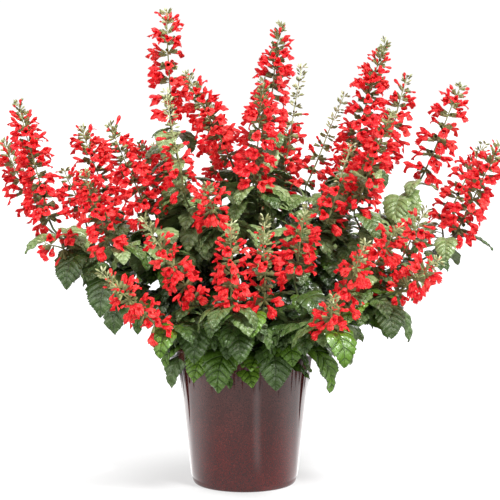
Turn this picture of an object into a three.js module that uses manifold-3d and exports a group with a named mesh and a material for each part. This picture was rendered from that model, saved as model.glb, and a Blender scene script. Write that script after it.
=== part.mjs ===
// A scarlet salvia in full flower, growing in a glazed pot.
//
// Millimetres, +Z up, origin at the middle of the pot's underside, -Y towards the viewer. Leafy stems
// stand in holes in the soil and lean outwards. Each one ends in a flower spike and carries side
// shoots that end in spikes of their own. A salvia's stems are square, its leaves sit in opposite
// pairs, and its florets stand all round the spike's axis.

import * as THREE from "three";
import { mergeVertices } from "three/addons/utils/BufferGeometryUtils.js";
import Module from "manifold-3d";

const { degToRad, lerp } = THREE.MathUtils;
const wasm = await Module();
wasm.setup();

// ---------------------------------------------------------------- driving dimensions

const GAP = 0.5; // clear space between two pieces that lie close together

const POT = {
  sides: 30,
  wall: 8,
  floor: 12,
  // Its outside is a line through these, [radius, height], from its foot to its rim.
  foot: [93, 0],
  heel: [97, 16],
  waist: [111.5, 150],
  rim: [125, 249],
  lip: 2.5, // how far the rim's top edges are bevelled
};

const SOIL = {
  edge: 217, // its height at the pot's wall
  middle: 227,
  shoulder: 0.7, // where it reaches that height, as a share of its radius
  lump: 4, // height of its lumps
  lumpLength: [57, 48], // their length along X and Y
};

const STEM = {
  side: 5.2,
  branchSide: 4,
  root: 24, // how deep it stands in the soil
  rise: 0.42, // how long it keeps its first direction, as a share of its reach
  lead: 0.22, // the same for the direction of its spike, before it
  steps: 6, // straight pieces in a main stem
  branchSteps: 3,
};

const LEAF = {
  length: 76,
  width: 62,
  petiole: 22,
  petioleWidth: 3,
  thick: 0.9,
  fold: degToRad(13), // how far each half is raised from the midrib
  rise: degToRad(28), // pitch of the petiole where it leaves the stem
  droop: [degToRad(38), degToRad(76)], // range of the tip's pitch below the level
  splay: degToRad(54), // how far to each side a pair points that grows along a level stem
  turn: degToRad(30), // range of its heading round the place that the pair gives it
  sizes: [1.14, 0.76], // at the foot of a stem and below its spike
  spread: [0.85, 1.15], // range of the sizes round that
  spacing: [84, 140], // between two pairs, at the foot of a stem and below its spike
  firstPair: 56, // from the foot of a main stem, in the soil, to its first pair
  firstBranchPair: 46, // the same from where a side shoot leaves its stem
  bareTop: 45, // from the last pair to the spike
};

const SPIKE = {
  axisRadius: 2.2,
  band: 30, // height of one turn of six florets
  floretRise: degToRad(14), // how far florets point along the spike
  reach: [35, 15], // from the spike's axis to a floret's lip, at its foot and at its tip
  mouth: [9, 5], // half the width of a floret's mouth, in the same places
  spread: [0.88, 1.08], // range of the florets' reach round that
  budTip: 20, // length of the closed buds at the very tip
  budRadius: 4.5, // of that tip where it is widest
  budWidest: 0.4, // where that is, as a share of its length
};

const FINISH = {
  pot: { color: 0x5a2a26, roughness: 0.15, metalness: 0 },
  soil: { color: 0x2a1d15, roughness: 0.95, metalness: 0 },
  stem: { color: 0x3c5a2c, roughness: 0.6, metalness: 0 },
  spike: { color: 0xe2231f, roughness: 0.5, metalness: 0 },
};

// Where each plant stands in the soil, [x, y], and its shoots. A shoot is
// [share of the main stem's length where it branches off, foot of its spike, tip of its spike];
// the first shoot is the main stem itself. Some leaves have a place of their own: they hang over the
// pot's rim and below the outer spikes. Each is
// [number of its shoot, share of that stem's length, heading and droop of its tip in degrees, size].
const PLANTS = [
  { // far left, reaching out
    hole: [-72, 6],
    shoots: [
      [0, [-350, -10, 479], [-405, 10, 689]],
      [0.78, [-392, 75, 497], [-446, 92, 621]],
      [0.62, [-296, 45, 491], [-331, 60, 569]],
      [0.84, [-318, -52, 429], [-352, -74, 445]],
    ],
    leaves: [
      [0, 0.15, 205, 105, 1.0], [0, 0.6, -110, 100, 1.4], [0, 0.78, -112, 105, 1.15],
      [0, 0.93, -48, 70, 0.85],
    ],
  },
  { // left, behind
    hole: [-58, 42],
    shoots: [
      [0, [-253, 70, 505], [-299, 85, 642]],
      [0.6, [-160, 88, 499], [-198, 100, 615]],
    ],
    leaves: [[0, 0.68, -100, 62, 0.9], [0, 0.85, -100, 95, 0.75]],
  },
  { // left, middle
    hole: [-44, -14],
    shoots: [
      [0, [-172, -34, 489], [-238, -34, 652]],
      [0.66, [-236, -118, 449], [-275, -132, 571]],
    ],
    leaves: [[0, 0.3, 205, 66, 1.0], [0, 0.55, 215, 85, 0.85]],
  },
  { // tall, left of the middle
    hole: [-30, 22],
    shoots: [
      [0, [-134, 24, 664], [-139, 34, 859]],
      [0.5, [-107, -56, 535], [-136, -76, 707]],
    ],
  },
  { // leaning left from the middle
    hole: [-8, -4],
    shoots: [
      [0, [-26, 0, 589], [-102, -22, 738]],
      [0.55, [-52, -138, 487], [-62, -170, 551]],
    ],
  },
  { // tall, right of the middle
    hole: [14, 20],
    shoots: [
      [0, [42, 26, 654], [65, 22, 827]],
      [0.58, [16, -54, 547], [34, -84, 725]],
      [0.62, [70, 70, 549], [106, 112, 751]],
    ],
  },
  { // right of the middle
    hole: [44, -2],
    shoots: [
      [0, [190, 8, 593], [251, 10, 793]],
      [0.62, [112, 38, 537], [181, 62, 698]],
      [0.8, [254, 62, 581], [296, 72, 732]],
      [0.56, [146, -64, 479], [188, -62, 615]],
    ],
  },
  { // far right, high
    hole: [64, 30],
    shoots: [
      [0, [322, -10, 565], [387, -14, 723]],
      [0.6, [194, -74, 503], [254, -112, 674]],
    ],
    leaves: [
      [0, 0.55, -110, 90, 0.9], [1, 0.8, -60, 90, 0.9], [0, 0.87, -110, 108, 0.95],
      [0, 0.93, -20, 45, 0.5],
    ],
  },
  { // far right, low
    hole: [72, -16],
    shoots: [
      [0, [374, -60, 461], [450, -62, 618]],
      [0.86, [362, 30, 473], [436, 52, 611]],
      [0.6, [268, -112, 411], [312, -134, 505]],
    ],
    leaves: [
      [0, 0.24, -12, 106, 1.35], [2, 0.9, -60, 100, 0.9], [1, 0.2, 200, 80, 0.75],
      [0, 0.84, -40, 85, 0.6], [0, 0.95, -100, 105, 0.75],
    ],
  },
  { // front right
    hole: [50, -52],
    shoots: [
      [0, [270, -206, 381], [328, -262, 437]],
      [0.6, [222, -140, 409], [264, -186, 483]],
      [0.45, [248, -128, 343], [296, -158, 399]],
    ],
    leaves: [[0, 0.2, -28, 108, 1.55], [2, 0.92, -56, 102, 1.05]],
  },
  { // front, right of the middle
    hole: [26, -72],
    shoots: [
      [0, [166, -210, 353], [202, -262, 465]],
      [0.52, [86, -166, 395], [104, -202, 515]],
      [0.58, [142, -258, 321], [146, -326, 379]],
    ],
    leaves: [[0, 0.3, -88, 110, 1.3], [2, 0.35, -165, 85, 1.1]],
  },
  { // front, middle
    hole: [-10, -80],
    shoots: [
      [0, [-22, -250, 361], [-20, -300, 503]],
      [0.5, [34, -206, 355], [34, -262, 499]],
    ],
    leaves: [[0, 0.3, -92, 110, 1.3], [0, 0.6, -80, 105, 1.0], [0, 0.88, 235, 85, 0.85]],
  },
  { // front left
    hole: [-46, -56],
    shoots: [
      [0, [-84, -196, 357], [-166, -264, 503]],
      [0.5, [-148, -232, 321], [-232, -328, 423]],
    ],
    leaves: [[0, 0.26, -118, 82, 1.1], [1, 0.35, -95, 105, 1.15]],
  },
  { // behind, left
    hole: [-26, 70],
    shoots: [
      [0, [-126, 210, 449], [-176, 270, 599]],
      [0.5, [-44, 168, 509], [-62, 204, 673]],
      [0.55, [-196, 180, 381], [-262, 236, 483]],
      [0.6, [-84, 286, 385], [-112, 362, 485]],
    ],
    leaves: [[0, 0.2, 112, 78, 1.2], [0, 0.32, 62, 80, 1.1]],
  },
  { // behind, right
    hole: [34, 66],
    shoots: [
      [0, [158, 206, 461], [214, 268, 613]],
      [0.5, [62, 182, 495], [84, 230, 649]],
      [0.45, [206, 136, 385], [262, 186, 475]],
      [0.6, [92, 284, 377], [112, 366, 471]],
    ],
    leaves: [[0, 0.2, 50, 78, 1.2], [0, 0.32, 98, 80, 1.1]],
  },
];

// ---------------------------------------------------------------- solids

const UP = new THREE.Vector3(0, 0, 1);
const TURN = 2 * Math.PI;
const THIRD = TURN / 3;
const SIXTH = TURN / 6;

const vector = (point) => new THREE.Vector3(...point);

// The geometry as a manifold solid: only its positions count, with shared vertices merged.
function solidOf(geometry) {
  const bare = new THREE.BufferGeometry();
  bare.setAttribute("position", geometry.getAttribute("position"));
  bare.setIndex(geometry.index);
  const merged = mergeVertices(bare, 1e-4);
  return new wasm.Manifold(new wasm.Mesh({
    numProp: 3,
    vertProperties: new Float32Array(merged.attributes.position.array),
    triVerts: new Uint32Array(merged.index.array),
  }));
}

// A solid from its corners and the triangles between them, given as numbers of corners.
function facets(corners, triangles) {
  const geometry = new THREE.BufferGeometry().setFromPoints(corners);
  geometry.setIndex(triangles.flat());
  return solidOf(geometry);
}

function geometryOf(solid) {
  const mesh = solid.getMesh();
  const geometry = new THREE.BufferGeometry();
  geometry.setAttribute("position", new THREE.BufferAttribute(mesh.vertProperties, 3));
  geometry.setIndex(new THREE.BufferAttribute(mesh.triVerts, 1));
  geometry.computeVertexNormals();
  return geometry;
}

function meshOf(name, solid, finish) {
  const mesh = new THREE.Mesh(geometryOf(solid), new THREE.MeshStandardMaterial(finish));
  mesh.name = name;
  return mesh;
}

// A square rod along a curve.
function rod(curve, side, steps) {
  const half = side / 2;
  const section = new THREE.Shape([
    new THREE.Vector2(-half, -half),
    new THREE.Vector2(half, -half),
    new THREE.Vector2(half, half),
    new THREE.Vector2(-half, half),
  ]);
  return solidOf(new THREE.ExtrudeGeometry(section, { steps, bevelEnabled: false, extrudePath: curve }));
}

function lathe(profile, sides) {
  const points = profile.map(([radius, height]) => new THREE.Vector2(radius, height));
  return new THREE.LatheGeometry(points, sides).rotateX(Math.PI / 2);
}

// A repeatable draw from 0 to 1 for one numbered thing. The numbers in it only scatter the result.
const PURPOSES = { heading: 1, droop: 2, leafSize: 3, reach: 4 };

function draw(number, purpose) {
  const value = Math.sin(number * 12.9898 + PURPOSES[purpose] * 78.233) * 43758.5453;
  return value - Math.floor(value);
}

// ---------------------------------------------------------------- what stands clear of what

// Every piece placed so far, with the node that it belongs to.
const placed = [];

// A piece's kind says which of its node's pieces it may touch.
function put(node, kind, solid) {
  placed.push({ node, kind, solid, box: solid.boundingBox() });
}

const boxesMeet = (a, b) =>
  [0, 1, 2].every((i) => a.min[i] - GAP < b.max[i] && b.min[i] - GAP < a.max[i]);

// True if the piece keeps its distance from every placed piece that ignore doesn't name.
function isClear(solid, ignore) {
  const box = solid.boundingBox();
  return placed.every((other) =>
    ignore(other) || !boxesMeet(box, other.box) || solid.minGap(other.solid, 2 * GAP) > GAP);
}

// ---------------------------------------------------------------- pot and soil

function pot() {
  const { foot, heel, waist, rim, lip, wall, floor, sides } = POT;
  const [rimRadius, height] = rim;
  return solidOf(lathe([
    [0, 0],
    foot,
    heel,
    waist,
    [rimRadius, height - lip],
    [rimRadius - lip, height],
    [rimRadius - wall + lip, height],
    [rimRadius - wall, height - lip],
    [waist[0] - wall, waist[1]],
    [heel[0] - wall, floor],
    [0, floor],
  ], sides));
}

// Soil fills the pot to below its rim. Its top is lumpy and has one hole for each stem.
function soil(stemHoles) {
  const { heel, waist, rim, wall, floor, sides } = POT;
  const slack = wall + GAP;
  const share = (SOIL.edge - waist[1]) / (rim[1] - waist[1]);
  const edgeRadius = lerp(waist[0], rim[0], share) - slack;
  const plug = lathe([
    [0, floor + GAP],
    [heel[0] - slack, floor + GAP],
    [waist[0] - slack, waist[1]],
    [edgeRadius, SOIL.edge],
    [edgeRadius * SOIL.shoulder, SOIL.middle],
    [0, SOIL.middle],
  ], sides);
  const { position } = plug.attributes;
  for (let i = 0; i < position.count; i++) {
    const [x, y, z] = [position.getX(i), position.getY(i), position.getZ(i)];
    if (z > SOIL.edge + 1) position.setZ(i, z + soilLump(x, y));
  }
  return stemHoles.reduce((left, hole) => left.subtract(hole), solidOf(plug));
}

function soilLump(x, y) {
  const [alongX, alongY] = SOIL.lumpLength;
  return SOIL.lump * Math.sin((TURN * x) / alongX) * Math.cos((TURN * y) / alongY);
}

// ---------------------------------------------------------------- curves of stems

// A main stem rises from its hole and runs smoothly into its spike.
function mainCurve(hole, foot, lean) {
  const root = new THREE.Vector3(...hole, SOIL.edge - STEM.root);
  return stemCurve(root, UP, foot, lean);
}

// A side shoot leaves the main stem along it and turns into its own spike.
function branchCurve(main, share, foot, lean) {
  return stemCurve(onStem(main, STEM.steps, share), main.getTangentAt(share), foot, lean);
}

// The point at a share of a stem's length, on the straight pieces that its rod is made of.
function onStem(curve, steps, share) {
  const points = curve.getSpacedPoints(steps);
  const piece = Math.min(Math.floor(share * steps), steps - 1);
  return points[piece].clone().lerp(points[piece + 1], share * steps - piece);
}

// From the root, in the direction start, to just below a spike's foot, in the direction lean.
function stemCurve(root, start, foot, lean) {
  const reach = root.distanceTo(foot);
  const rise = root.clone().addScaledVector(start, STEM.rise * reach);
  const lead = foot.clone().addScaledVector(lean, -STEM.lead * reach);
  const end = foot.clone().addScaledVector(lean, -GAP);
  return new THREE.CubicBezierCurve3(root, rise, lead, end);
}

// The hole that a main stem stands in: wider than the stem and a little deeper.
function stemHole(curve) {
  return rod(curve, STEM.side + 2 * GAP, STEM.steps).translate([0, 0, -GAP]);
}

// ---------------------------------------------------------------- leaves

// The left half of the blade's outline, as [share of the length, share of half the width]: the
// heart-shaped shoulder, then a tooth and the notch above it.
const LEAF_MARGIN = [[-0.07, 0.68], [0.22, 1], [0.29, 0.82]];
const LEAF_MIDDLE = 0.32; // where on its midrib the blade's triangles meet
const BLADE_FOOT = 0.9; // where on its petiole the blade counts as begun, to test if it stands clear

// A leaf with its petiole, or the blade alone: one thin sheet that starts inside the stem, rises and
// then droops.
function leaf({ root, azimuth, droop, size }, bladeAlone = false) {
  const petiole = LEAF.petiole * size;
  const length = LEAF.length * size;
  const halfWidth = (LEAF.width * size) / 2;
  const edge = LEAF.petioleWidth / 2;
  const margin = LEAF_MARGIN.map(([along, across]) => [petiole + along * length, across * halfWidth]);
  const left = [[petiole, edge], ...margin];
  const right = left.map(([along, across]) => [along, -across]);
  const start = bladeAlone ? BLADE_FOOT * petiole : 0;
  const outline = [[start, 0], ...right, [petiole + length, 0], ...left.toReversed()];
  const middle = [petiole + LEAF_MIDDLE * length, 0];
  const place = archedLeaf(root, azimuth, (LEAF.rise + droop) / (petiole + length));
  return blade([...outline, middle], place);
}

// Maps [along, across, above] on a flat leaf to its place on the arched and folded one.
function archedLeaf(root, azimuth, bend) {
  const out = new THREE.Vector3(Math.cos(azimuth), Math.sin(azimuth), 0);
  const side = new THREE.Vector3(-out.y, out.x, 0);
  return (along, across, above) => {
    const pitch = LEAF.rise - bend * along;
    const level = (Math.sin(LEAF.rise) - Math.sin(pitch)) / bend;
    const height = (Math.cos(pitch) - Math.cos(LEAF.rise)) / bend;
    const normal = out.clone().multiplyScalar(-Math.sin(pitch)).addScaledVector(UP, Math.cos(pitch));
    return root.clone()
      .addScaledVector(out, level)
      .addScaledVector(UP, height)
      .addScaledVector(side, across * Math.cos(LEAF.fold))
      .addScaledVector(normal, Math.abs(across) * Math.sin(LEAF.fold) + above);
  };
}

// A closed sheet over an outline that runs anticlockwise from its root. The last point is the middle
// of the blade, where its triangles meet; one more triangle is the petiole. Both faces share the tip.
function blade(points, place) {
  const middle = points.length - 1;
  const last = middle - 1;
  const tip = middle / 2;
  const vertices = [LEAF.thick / 2, -LEAF.thick / 2].flatMap((above) =>
    points.map(([along, across], i) => place(along, across, i === tip ? 0 : above)));
  const upper = [[0, 1, last], [last, 1, middle]];
  for (let i = 1; i < last; i++) upper.push([i, i + 1, middle]);
  const lower = upper.map(([a, b, c]) => [a, c, b].map((i) => i + points.length));
  const rim = points.slice(0, middle).flatMap((_, i) => {
    const next = (i + 1) % middle;
    const below = [i, next].map((k) => k + points.length);
    return [[i, below[0], below[1]], [i, below[1], next]];
  });
  return facets(vertices, [...upper, ...lower, ...rim]);
}

const LEAVES_AT_MOST = 20; // on a shoot, so that each leaf has a number of its own

// Opposite pairs along a stem, each pair turned a quarter from the one below it, but never back
// over a leaning stem. They get smaller towards the flowers.
function leafPairs(curve, steps, firstPair, stemNumber) {
  const leaves = [];
  const length = curve.getLength();
  let along = firstPair;
  for (let pair = 0; along < length - LEAF.bareTop; pair++) {
    const share = along / length;
    along += lerp(...LEAF.spacing, share);
    const tangent = curve.getTangentAt(share);
    const heading = Math.atan2(tangent.y, tangent.x);
    const lean = Math.hypot(tangent.x, tangent.y);
    for (const way of [0, 1]) {
      const seed = stemNumber * LEAVES_AT_MOST + pair * 2 + way;
      const acrossStem = Math.PI * (way + 0.5);
      const alongStem = way ? lerp(Math.PI, TURN - LEAF.splay, lean) : lerp(0, LEAF.splay, lean);
      leaves.push({
        root: onStem(curve, steps, share),
        azimuth: heading + (pair % 2 ? alongStem : acrossStem) + LEAF.turn * (draw(seed, "heading") - 0.5),
        droop: lerp(...LEAF.droop, draw(seed, "droop")),
        size: lerp(...LEAF.sizes, share) * lerp(...LEAF.spread, draw(seed, "leafSize")),
      });
    }
  }
  return leaves;
}

// The leaves that have a place of their own on a plant's shoots.
function placedLeaves(leaves, plantShoots) {
  return leaves.map(([shoot, share, heading, droop, size]) => {
    const { curve, steps } = plantShoots[shoot];
    return { root: onStem(curve, steps, share), azimuth: degToRad(heading), droop: degToRad(droop), size };
  });
}

// What a leaf may do to stand clear of its neighbours, as [turn aside, further droop, size].
const LEAF_TRIES = [
  [0, 0, 1], [0.4, 0, 1], [-0.4, 0, 1], [0, 0.4, 1], [0, -0.4, 1], [0.8, 0.2, 0.9], [-0.8, 0.2, 0.9],
  [0.5, 0.5, 0.75], [-0.5, 0.5, 0.75], [0, 0, 0.65],
];

// Puts the leaf where it stands clear of all but its pair and the stem that its petiole grows from.
// Where there is no room for it, there is no leaf.
function growLeaf(node, spec, pairName) {
  const isPartner = (other) => other.node === node && other.kind === pairName;
  const isOwnStem = (other) => other.node === node && other.kind === "stem";
  for (const [turn, droop, scale] of LEAF_TRIES) {
    const tried = {
      root: spec.root,
      azimuth: spec.azimuth + turn,
      droop: spec.droop + droop,
      size: spec.size * scale,
    };
    const solid = leaf(tried);
    const clear = isClear(solid, (other) => isPartner(other) || isOwnStem(other));
    if (clear && isClear(leaf(tried, true), isPartner)) {
      put(node, pairName, solid);
      return;
    }
  }
}

// ---------------------------------------------------------------- flower spikes

// Places and directions along and round a spike.
function spikeFrame(foot, tip) {
  const axis = tip.clone().sub(foot).normalize();
  const side = new THREE.Vector3().crossVectors(new THREE.Vector3(0, 1, 0), axis).normalize();
  const front = new THREE.Vector3().crossVectors(axis, side);
  const around = (angle) =>
    side.clone().multiplyScalar(Math.cos(angle)).addScaledVector(front, Math.sin(angle));
  const point = (along, radius, angle) =>
    foot.clone().addScaledVector(axis, along).addScaledVector(around(angle), radius);
  return { axis, around, point };
}

// The corners of a floret's mouth, as [across, up, share of the reach], the first two in half widths.
// A floret from an upright face has a narrow hood over a broad lip, and the next one a broad hood.
const MOUTHS = {
  upright: [[-1, -0.7, 0.94], [1, -0.7, 0.94], [0, 1, 1]],
  hanging: [[0, -1, 0.94], [1, 0.6, 1], [-1, 0.6, 1]],
};

// The mouth of the floret that grows from one face of the axis: a point for each of its corners.
function floretMouth(frame, { corners, angle, kind }, reach, width) {
  const out = frame.around(angle)
    .multiplyScalar(Math.cos(SPIKE.floretRise))
    .addScaledVector(frame.axis, Math.sin(SPIKE.floretRise));
  const side = new THREE.Vector3().crossVectors(frame.axis, out).normalize();
  const root = corners[0].clone().add(corners[1]).add(corners[2]).divideScalar(3);
  return MOUTHS[kind].map(([across, up, share]) => root.clone()
    .addScaledVector(out, share * reach)
    .addScaledVector(side, across * width)
    .addScaledVector(frame.axis, up * width));
}

const FLORET_TRIES = [1, 0.75, 0.5]; // the sizes that a floret may have to stand clear
const FLORETS_AT_MOST = 50; // on a spike, so that each floret has a number of its own

// The triangles of a floret between its six corners: three at the axis, then those of its mouth.
const FLORET_SKIN = [[0, 1, 4], [0, 4, 3], [1, 2, 5], [1, 5, 4], [2, 0, 3], [2, 3, 5], [3, 4, 5]];

// The faces of a spike's axis. It is a stack of rings of three corners, each turned by a sixth from
// the ring below it, so every band between two rings has six three-sided faces.
function axisFaces(frame, bands, flowering) {
  const faces = [];
  for (let band = 0; band < bands; band++) {
    const corner = (ring, i) =>
      frame.point((ring / bands) * flowering, SPIKE.axisRadius, ring * SIXTH + i * THIRD);
    for (let i = 0; i < 3; i++) {
      const angle = (band + 1) * SIXTH + i * THIRD;
      const upright = [corner(band, i), corner(band, i + 1), corner(band + 1, i)];
      const hanging = [corner(band, i + 1), corner(band + 1, i + 1), corner(band + 1, i)];
      faces.push({ kind: "upright", corners: upright, angle, share: band / bands });
      faces.push({ kind: "hanging", corners: hanging, angle: angle + SIXTH, share: (band + 0.5) / bands });
    }
  }
  return faces;
}

// The skin of the axis below its first ring and above its last one, where the closed buds are.
function axisEnds(frame, bands, flowering) {
  const ring = (along, radius, turn) =>
    [0, 1, 2].map((i) => frame.point(along, radius, turn * SIXTH + i * THIRD));
  const bottom = ring(0, SPIKE.axisRadius, 0);
  const neck = ring(flowering, SPIKE.axisRadius, bands);
  const buds = ring(flowering + SPIKE.budWidest * SPIKE.budTip, SPIKE.budRadius, bands);
  const tip = frame.point(flowering + SPIKE.budTip, 0, 0);
  const triangles = [bottom.toReversed()];
  for (let i = 0; i < 3; i++) {
    const next = (i + 1) % 3;
    triangles.push([neck[i], neck[next], buds[next]], [neck[i], buds[next], buds[i]]);
    triangles.push([buds[i], buds[next], tip]);
  }
  return triangles;
}

// The first of the mouths whose floret stands clear of everything but its own spike.
function clearMouth(node, corners, mouths) {
  const isOwn = (other) => other.node === node;
  return mouths.find((mouth) => {
    const floret = facets([...corners, ...mouth], [...FLORET_SKIN, [0, 2, 1]]);
    const clear = isClear(floret, isOwn);
    if (clear) put(node, "floret", floret);
    return clear;
  });
}

// One spike: a floret on every face of its axis, or a smaller one or none where it has no room.
function spikeSolid(node, foot, tip, spikeNumber) {
  const frame = spikeFrame(foot, tip);
  const flowering = tip.distanceTo(foot) - SPIKE.budTip;
  const bands = Math.max(1, Math.round(flowering / SPIKE.band));
  const triangles = axisEnds(frame, bands, flowering);
  axisFaces(frame, bands, flowering).forEach((face, i) => {
    const spread = lerp(...SPIKE.spread, draw(spikeNumber * FLORETS_AT_MOST + i, "reach"));
    const reach = spread * lerp(...SPIKE.reach, face.share ** 2);
    const width = lerp(...SPIKE.mouth, face.share ** 2);
    const mouths = FLORET_TRIES.map((scale) => floretMouth(frame, face, reach * scale, width * scale));
    const mouth = clearMouth(node, face.corners, mouths);
    const corners = [...face.corners, ...(mouth ?? [])];
    const skin = mouth ? FLORET_SKIN : [[0, 1, 2]];
    for (const triangle of skin) triangles.push(triangle.map((k) => corners[k]));
  });
  return facets(triangles.flat(), triangles.map((_, i) => [3 * i, 3 * i + 1, 3 * i + 2]));
}

// ---------------------------------------------------------------- the whole plant

const numbered = (name, number) => `${name}_${String(number).padStart(2, "0")}`;

// Every shoot of every plant, each with its spike and the stem that it is part of. A plant's first
// shoot is its main stem.
function shootsOf(plants) {
  const shoots = [];
  plants.forEach(({ hole, shoots: rows }, plant) => {
    let main;
    rows.forEach(([share, footPoint, tipPoint]) => {
      const [foot, tip] = [vector(footPoint), vector(tipPoint)];
      const lean = tip.clone().sub(foot).normalize();
      const curve = main ? branchCurve(main, share, foot, lean) : mainCurve(hole, foot, lean);
      const number = shoots.length + 1;
      shoots.push({
        number,
        curve,
        foot,
        tip,
        isMain: !main,
        side: main ? STEM.branchSide : STEM.side,
        steps: main ? STEM.branchSteps : STEM.steps,
        firstPair: main ? LEAF.firstBranchPair : LEAF.firstPair,
        stem: numbered("stem", plant + 1),
        spike: numbered("spike", number),
      });
      main ??= curve;
    });
  });
  return shoots;
}

// The pieces that were put in a node, joined.
function joined(node) {
  return wasm.Manifold.union(placed.filter((piece) => piece.node === node).map((piece) => piece.solid));
}

const shoots = shootsOf(PLANTS);
const mains = shoots.filter(({ isMain }) => isMain);

put("pot", "pot", pot());
put("soil", "soil", soil(mains.map(({ curve }) => stemHole(curve))));
for (const { stem, curve, side, steps } of shoots) put(stem, "stem", rod(curve, side, steps));
const spikes = shoots.map(({ spike, foot, tip, number }) =>
  meshOf(spike, spikeSolid(spike, foot, tip, number), FINISH.spike));
PLANTS.forEach(({ leaves = [] }, i) => {
  const { stem } = mains[i];
  const specs = placedLeaves(leaves, shoots.filter((shoot) => shoot.stem === stem));
  specs.forEach((spec, k) => growLeaf(stem, spec, `placed ${k}`));
});
for (const { stem, curve, steps, firstPair, number } of shoots) {
  const specs = leafPairs(curve, steps, firstPair, number);
  specs.forEach((spec, i) => growLeaf(stem, spec, `pair ${number} ${i >> 1}`));
}

const salvia = new THREE.Group();
salvia.add(
  meshOf("pot", joined("pot"), FINISH.pot),
  meshOf("soil", joined("soil"), FINISH.soil),
  ...mains.map(({ stem }) => meshOf(stem, joined(stem), FINISH.stem)),
  ...spikes,
);

export default salvia;
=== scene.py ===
"""The looks of a scarlet salvia in its glazed pot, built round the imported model.

Lengths are metres, +Z is up and -Y faces the viewer. The stems' curves, their leaves and the flower
spikes stand where the part's source has them, by the same rules and the same numbered draws. Each
piece then gets its fine form: toothed and quilted leaves, two-lipped florets, calyces and buds.
"""

from math import atan2, cos, hypot, pi, radians, sin

import bpy
import numpy as np
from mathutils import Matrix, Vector


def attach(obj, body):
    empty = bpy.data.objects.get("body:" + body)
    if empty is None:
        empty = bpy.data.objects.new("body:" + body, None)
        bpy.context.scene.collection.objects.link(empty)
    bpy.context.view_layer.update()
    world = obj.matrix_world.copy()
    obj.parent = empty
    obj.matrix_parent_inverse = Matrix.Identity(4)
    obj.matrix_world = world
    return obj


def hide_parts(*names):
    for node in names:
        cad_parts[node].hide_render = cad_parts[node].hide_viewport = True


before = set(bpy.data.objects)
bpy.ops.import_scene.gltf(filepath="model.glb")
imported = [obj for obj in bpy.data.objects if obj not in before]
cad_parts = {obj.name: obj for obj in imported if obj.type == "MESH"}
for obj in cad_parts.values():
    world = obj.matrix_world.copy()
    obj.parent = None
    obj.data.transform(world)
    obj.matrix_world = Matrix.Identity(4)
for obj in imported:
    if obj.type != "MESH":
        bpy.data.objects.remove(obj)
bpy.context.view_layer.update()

# ------------------------ driving dimensions, as in the part

MM = 0.001
TURN = 2 * pi

POT = {
    "wall": 8 * MM,
    "floor": 12 * MM,
    "foot": (93 * MM, 0),  # [radius, height] of the outside, from the foot to the rim
    "heel": (97 * MM, 16 * MM),
    "waist": (111.5 * MM, 150 * MM),
    "rim": (125 * MM, 249 * MM),
}

SOIL = {"edge": 217 * MM, "middle": 227 * MM, "lump": 4 * MM, "lump_length": (57 * MM, 48 * MM)}

STEM = {
    "side": 5.2 * MM,
    "branch_side": 4 * MM,
    "root": 24 * MM,
    "rise": 0.42,
    "lead": 0.22,
    "steps": 6,
    "branch_steps": 3,
    "gap": 0.5 * MM,
}

LEAF = {
    "length": 76 * MM,
    "width": 62 * MM,
    "petiole": 22 * MM,
    "fold": radians(13),
    "rise": radians(28),
    "droop": (radians(38), radians(76)),
    "splay": radians(54),
    "turn": radians(30),
    "sizes": (1.14, 0.76),
    "spread": (0.85, 1.15),
    "spacing": (84 * MM, 140 * MM),
    "first_pair": 56 * MM,
    "first_branch_pair": 46 * MM,
    "bare_top": 45 * MM,
    "at_most": 20,
}

# What a leaf may do to stand clear of its neighbours, as [turn aside, further droop, size].
LEAF_TRIES = [
    (0, 0, 1), (0.4, 0, 1), (-0.4, 0, 1), (0, 0.4, 1), (0, -0.4, 1), (0.8, 0.2, 0.9),
    (-0.8, 0.2, 0.9), (0.5, 0.5, 0.75), (-0.5, 0.5, 0.75), (0, 0, 0.65),
]

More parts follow.
